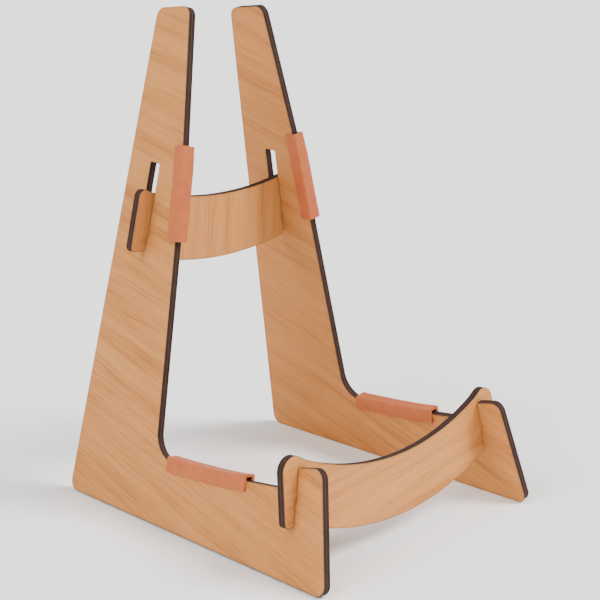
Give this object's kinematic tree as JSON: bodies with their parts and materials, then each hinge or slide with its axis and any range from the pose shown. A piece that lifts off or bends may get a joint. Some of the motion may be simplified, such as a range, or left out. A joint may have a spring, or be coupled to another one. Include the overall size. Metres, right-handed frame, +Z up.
{
  "type": "guitar stand",
  "caption": "Low floor stand for a guitar: two leaning side boards with upright and arm, joined by curved cross boards in slots, with soft channels on the edges a body touches.",
  "frame": {"origin": "on the floor, in the middle of the stand's width and depth", "axes": "+X to the right, -Y towards the front, where the guitar goes in, +Z up"},
  "size_m": [0.2394, 0.2822, 0.3836],
  "materials": {
    "veneer": "matt oiled veneer with fine straight grain",
    "core": "dark scorched cut edge",
    "guard": "matt soft rubber"
  },
  "bodies": {
    "cross_boards": {"front_cross_front_veneer": "veneer", "front_cross_core": "core", "front_cross_rear_veneer": "veneer", "rear_cross_front_veneer": "veneer", "rear_cross_core": "core", "rear_cross_rear_veneer": "veneer"},
    "left_side": {"left_outer_veneer": "veneer", "left_core": "core", "left_inner_veneer": "veneer", "left_back_guard": "guard", "left_seat_guard": "guard"},
    "right_side": {"right_outer_veneer": "veneer", "right_core": "core", "right_inner_veneer": "veneer", "right_back_guard": "guard", "right_seat_guard": "guard"}
  },
  "joints": [
    {"name": "left_side_slide", "type": "slide", "parent": "cross_boards", "child": "left_side", "axis": [-0.2017, -0.1045, -0.9739], "range_m": [0, 0.02]},
    {"name": "right_side_slide", "type": "slide", "parent": "cross_boards", "child": "right_side", "axis": [0.2017, -0.1045, -0.9739], "range_m": [0, 0.02]}
  ]
}
